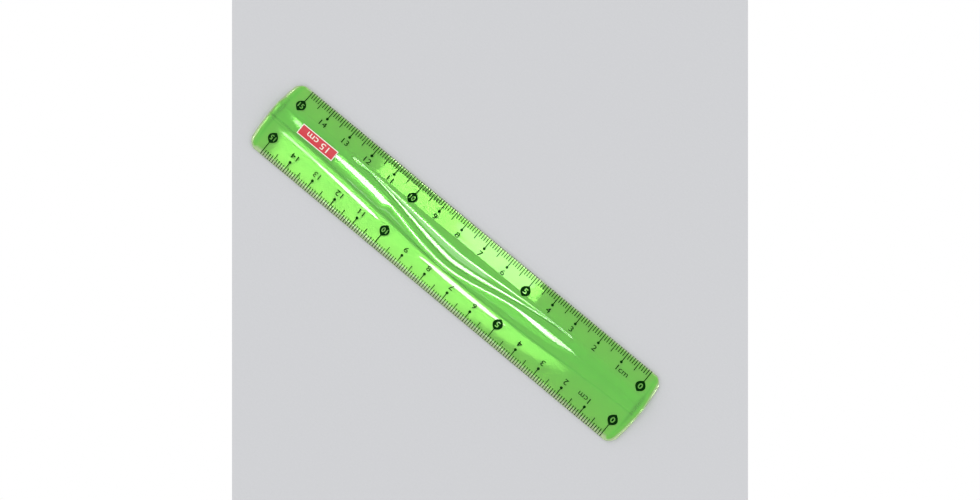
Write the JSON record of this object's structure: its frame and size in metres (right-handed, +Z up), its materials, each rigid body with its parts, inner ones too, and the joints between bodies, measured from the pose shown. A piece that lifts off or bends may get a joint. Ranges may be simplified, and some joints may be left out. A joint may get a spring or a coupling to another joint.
{
  "type": "flexible ruler",
  "caption": "Flexible see-through green ruler with a centimetre scale on each long edge, a raised wavy grip ridge and a small red label.",
  "frame": {"origin": "under the middle of the ruler, on its flat underside", "axes": "+X along the ruler towards the 0 end of the scales, +Y across it towards the upper scale, +Z up through its thickness"},
  "size_m": [0.1626, 0.028, 0.0028],
  "materials": {
    "strip": "glossy see-through soft PVC, tinted green",
    "ink": "black printing ink",
    "label": "red printing ink with a pale border"
  },
  "bodies": {
    "section_01": {"strip_01": "strip", "upper_scale_01": "ink", "lower_scale_01": "ink"},
    "section_02": {"strip_02": "strip", "upper_scale_02": "ink", "lower_scale_02": "ink"},
    "section_03": {"strip_03": "strip", "upper_scale_03": "ink", "lower_scale_03": "ink"},
    "section_04": {"strip_04": "strip", "upper_scale_04": "ink", "lower_scale_04": "ink"},
    "section_05": {"strip_05": "strip", "upper_scale_05": "ink", "lower_scale_05": "ink"},
    "section_06": {"strip_06": "strip", "upper_scale_06": "ink", "lower_scale_06": "ink"},
    "section_07": {"strip_07": "strip", "upper_scale_07": "ink", "lower_scale_07": "ink"},
    "section_08": {"strip_08": "strip", "upper_scale_08": "ink", "lower_scale_08": "ink"},
    "section_09": {"strip_09": "strip", "upper_scale_09": "ink", "lower_scale_09": "ink"},
    "section_10": {"strip_10": "strip", "upper_scale_10": "ink", "lower_scale_10": "ink"},
    "section_11": {"strip_11": "strip", "upper_scale_11": "ink", "lower_scale_11": "ink"},
    "section_12": {"strip_12": "strip", "upper_scale_12": "ink", "lower_scale_12": "ink"},
    "section_13": {"strip_13": "strip", "upper_scale_13": "ink", "lower_scale_13": "ink"},
    "section_14": {"strip_14": "strip", "upper_scale_14": "ink", "lower_scale_14": "ink", "label_14": "label"},
    "section_15": {"strip_15": "strip", "upper_scale_15": "ink", "lower_scale_15": "ink", "label_15": "label"},
    "section_16": {"strip_16": "strip", "upper_scale_16": "ink", "lower_scale_16": "ink"}
  },
  "joints": [
    {"name": "bend_07", "type": "hinge", "parent": "section_08", "child": "section_07", "pos_m": [0.0095, 0, 0.00135], "axis": [0, -1, 0], "range_deg": [0, 12], "stiffness_Nm_per_rad": 0.01},
    {"name": "bend_06", "type": "hinge", "parent": "section_07", "child": "section_06", "pos_m": [0.0195, 0, 0.00135], "axis": [0, -1, 0], "range_deg": [0, 12], "stiffness_Nm_per_rad": 0.01},
    {"name": "bend_05", "type": "hinge", "parent": "section_06", "child": "section_05", "pos_m": [0.0295, 0, 0.00135], "axis": [0, -1, 0], "range_deg": [0, 12], "stiffness_Nm_per_rad": 0.01},
    {"name": "bend_04", "type": "hinge", "parent": "section_05", "child": "section_04", "pos_m": [0.0395, 0, 0.00135], "axis": [0, -1, 0], "range_deg": [0, 12], "stiffness_Nm_per_rad": 0.01},
    {"name": "bend_03", "type": "hinge", "parent": "section_04", "child": "section_03", "pos_m": [0.0495, 0, 0.00135], "axis": [0, -1, 0], "range_deg": [0, 12], "stiffness_Nm_per_rad": 0.01},
    {"name": "bend_02", "type": "hinge", "parent": "section_03", "child": "section_02", "pos_m": [0.0595, 0, 0.00135], "axis": [0, -1, 0], "range_deg": [0, 12], "stiffness_Nm_per_rad": 0.01},
    {"name": "bend_01", "type": "hinge", "parent": "section_02", "child": "section_01", "pos_m": [0.0695, 0, 0.00135], "axis": [0, -1, 0], "range_deg": [0, 12], "stiffness_Nm_per_rad": 0.01},
    {"name": "bend_08", "type": "hinge", "parent": "section_08", "child": "section_09", "pos_m": [-0.0005, 0, 0.00135], "axis": [0, 1, 0], "range_deg": [0, 12], "stiffness_Nm_per_rad": 0.01},
    {"name": "bend_09", "type": "hinge", "parent": "section_09", "child": "section_10", "pos_m": [-0.0105, 0, 0.00135], "axis": [0, 1, 0], "range_deg": [0, 12], "stiffness_Nm_per_rad": 0.01},
    {"name": "bend_10", "type": "hinge", "parent": "section_10", "child": "section_11", "pos_m": [-0.0205, 0, 0.00135], "axis": [0, 1, 0], "range_deg": [0, 12], "stiffness_Nm_per_rad": 0.01},
    {"name": "bend_11", "type": "hinge", "parent": "section_11", "child": "section_12", "pos_m": [-0.0305, 0, 0.00135], "axis": [0, 1, 0], "range_deg": [0, 12], "stiffness_Nm_per_rad": 0.01},
    {"name": "bend_12", "type": "hinge", "parent": "section_12", "child": "section_13", "pos_m": [-0.0405, 0, 0.00135], "axis": [0, 1, 0], "range_deg": [0, 12], "stiffness_Nm_per_rad": 0.01},
    {"name": "bend_13", "type": "hinge", "parent": "section_13", "child": "section_14", "pos_m": [-0.0505, 0, 0.00135], "axis": [0, 1, 0], "range_deg": [0, 12], "stiffness_Nm_per_rad": 0.01},
    {"name": "bend_14", "type": "hinge", "parent": "section_14", "child": "section_15", "pos_m": [-0.0605, 0, 0.00135], "axis": [0, 1, 0], "range_deg": [0, 12], "stiffness_Nm_per_rad": 0.01},
    {"name": "bend_15", "type": "hinge", "parent": "section_15", "child": "section_16", "pos_m": [-0.0705, 0, 0.00135], "axis": [0, 1, 0], "range_deg": [0, 12], "stiffness_Nm_per_rad": 0.01}
  ],
  "couplings": [
    {"joint": "bend_06", "follows": "bend_07", "ratio": 1},
    {"joint": "bend_05", "follows": "bend_07", "ratio": 1},
    {"joint": "bend_04", "follows": "bend_07", "ratio": 1},
    {"joint": "bend_03", "follows": "bend_07", "ratio": 1},
    {"joint": "bend_02", "follows": "bend_07", "ratio": 1},
    {"joint": "bend_01", "follows": "bend_07", "ratio": 1},
    {"joint": "bend_09", "follows": "bend_08", "ratio": 1},
    {"joint": "bend_10", "follows": "bend_08", "ratio": 1},
    {"joint": "bend_11", "follows": "bend_08", "ratio": 1},
    {"joint": "bend_12", "follows": "bend_08", "ratio": 1},
    {"joint": "bend_13", "follows": "bend_08", "ratio": 1},
    {"joint": "bend_14", "follows": "bend_08", "ratio": 1},
    {"joint": "bend_15", "follows": "bend_08", "ratio": 1}
  ]
}
